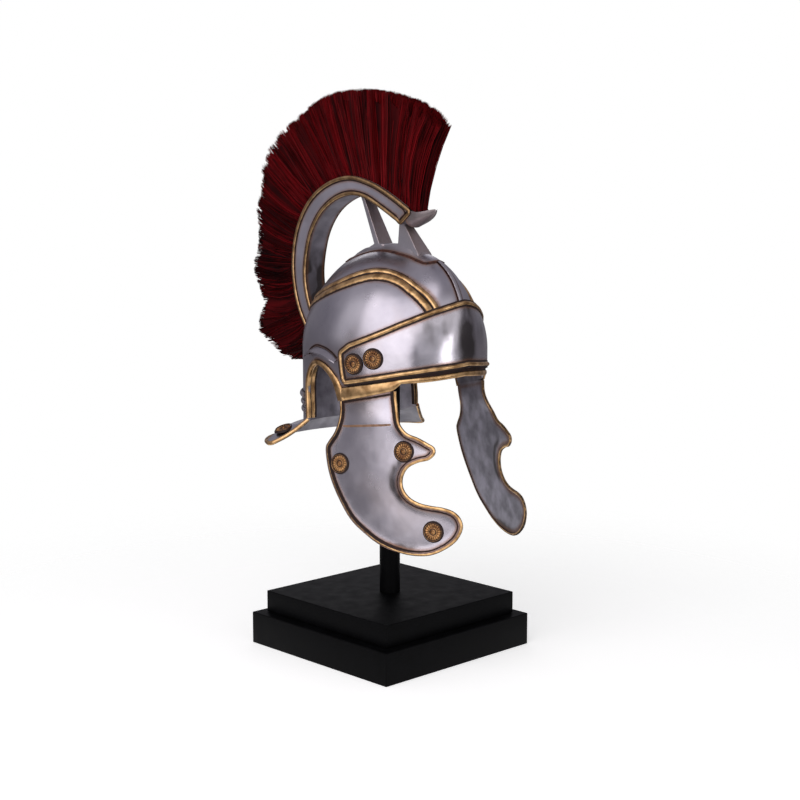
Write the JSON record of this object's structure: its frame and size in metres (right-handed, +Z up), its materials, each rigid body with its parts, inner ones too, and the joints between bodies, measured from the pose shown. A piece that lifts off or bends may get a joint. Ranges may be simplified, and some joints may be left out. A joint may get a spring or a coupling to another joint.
{
  "type": "roman legionary helmet on a stand",
  "caption": "Crested Roman helmet with cheek guards, flared neck guard, brow plate and red plume, standing on a post over a stepped square plinth.",
  "frame": {"origin": "centre of the plinth's underside", "axes": "+Z up; the face opening looks along -Y; x = 0 is the plane of symmetry, and the wearer's right side is at -X"},
  "size_m": [0.262, 0.4149, 0.676],
  "materials": {
    "polished_steel": "polished, with dark patina in the creases",
    "gilt_brass": "aged gilt, satin, brown in the recesses",
    "red_horsehair": "dark red hair in ragged tufts",
    "black_stand": "satin black paint"
  },
  "bodies": {
    "root": {"plinth_base": "black_stand", "plinth_step": "black_stand", "post": "black_stand", "skull_bowl": "polished_steel", "neck_guard": "polished_steel", "neck_rim": "gilt_brass", "brow_plate": "polished_steel", "brow_plate_trim": "gilt_brass", "brow_rim": "gilt_brass", "ear_rim_right": "gilt_brass", "ear_rim_left": "gilt_brass", "ear_guard_right": "polished_steel", "ear_guard_left": "polished_steel", "nape_rib_1": "polished_steel", "nape_rib_2": "polished_steel", "nape_rib_3": "polished_steel", "crown_band_1_right": "gilt_brass", "crown_band_1_left": "gilt_brass", "crown_band_2_right": "gilt_brass", "crown_band_2_left": "gilt_brass", "medial_ridge": "polished_steel", "cheek_guard_right": "polished_steel", "cheek_guard_left": "polished_steel", "cheek_rim_right": "gilt_brass", "cheek_rim_left": "gilt_brass", "brow_rosette_1_right": "gilt_brass", "brow_rosette_1_left": "gilt_brass", "brow_rosette_2_right": "gilt_brass", "brow_rosette_2_left": "gilt_brass", "cheek_rosette_1_right": "gilt_brass", "cheek_rosette_1_left": "gilt_brass", "cheek_rosette_2_right": "gilt_brass", "cheek_rosette_2_left": "gilt_brass", "cheek_rosette_3_right": "gilt_brass", "cheek_rosette_3_left": "gilt_brass", "guard_rosette_1_right": "gilt_brass", "guard_rosette_1_left": "gilt_brass", "guard_rosette_2": "gilt_brass", "crest_support": "polished_steel", "crest_box": "polished_steel", "crest_trim_right": "gilt_brass", "crest_trim_left": "gilt_brass", "crest_lip": "polished_steel", "plume": "red_horsehair"}
  },
  "joints": []
}
